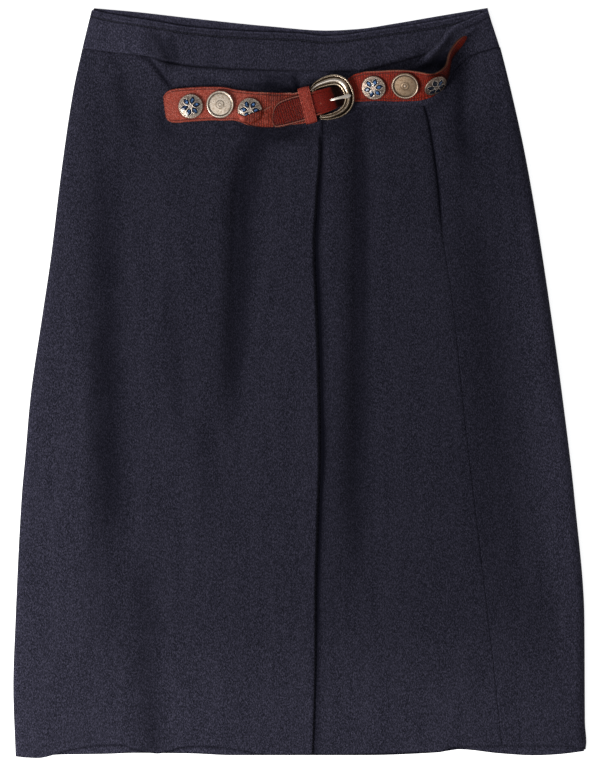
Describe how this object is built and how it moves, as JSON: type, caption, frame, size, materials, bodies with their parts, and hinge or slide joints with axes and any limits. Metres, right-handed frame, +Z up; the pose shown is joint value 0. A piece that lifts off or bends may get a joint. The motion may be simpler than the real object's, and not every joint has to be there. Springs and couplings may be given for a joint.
{
  "type": "wrap skirt",
  "caption": "Knee-length A-line wrap skirt laid flat, with a drooping over-panel and a short buckled leather belt with metal conchos.",
  "frame": {"origin": "centre of the skirt's outline, on the surface that the skirt lies on", "axes": "+X across the skirt to the right as it is seen from the front, +Y from the hem towards the waist, +Z up from the surface, out of the skirt's front"},
  "size_m": [0.5394, 0.7039, 0.0264],
  "materials": {
    "navy_twill": "matt melange wool-blend twill",
    "red_leather": "grained red-brown leather, semi-matt",
    "old_silver": "antiqued silver-plated metal"
  },
  "bodies": {
    "root": {"back_panel": "navy_twill", "back_waistband": "navy_twill", "left_front_panel": "navy_twill", "under_waistband": "navy_twill", "over_panel_centre": "navy_twill", "over_panel_side": "navy_twill", "over_waistband": "navy_twill", "belt_left_strap": "red_leather", "belt_right_strap": "red_leather", "belt_keeper": "red_leather", "buckle_frame": "old_silver", "buckle_prong": "old_silver", "concho_1_flower": "old_silver", "concho_2_plain": "old_silver", "concho_3_flower": "old_silver", "concho_4_flower": "old_silver", "concho_5_plain": "old_silver", "concho_6_flower": "old_silver"}
  },
  "joints": []
}
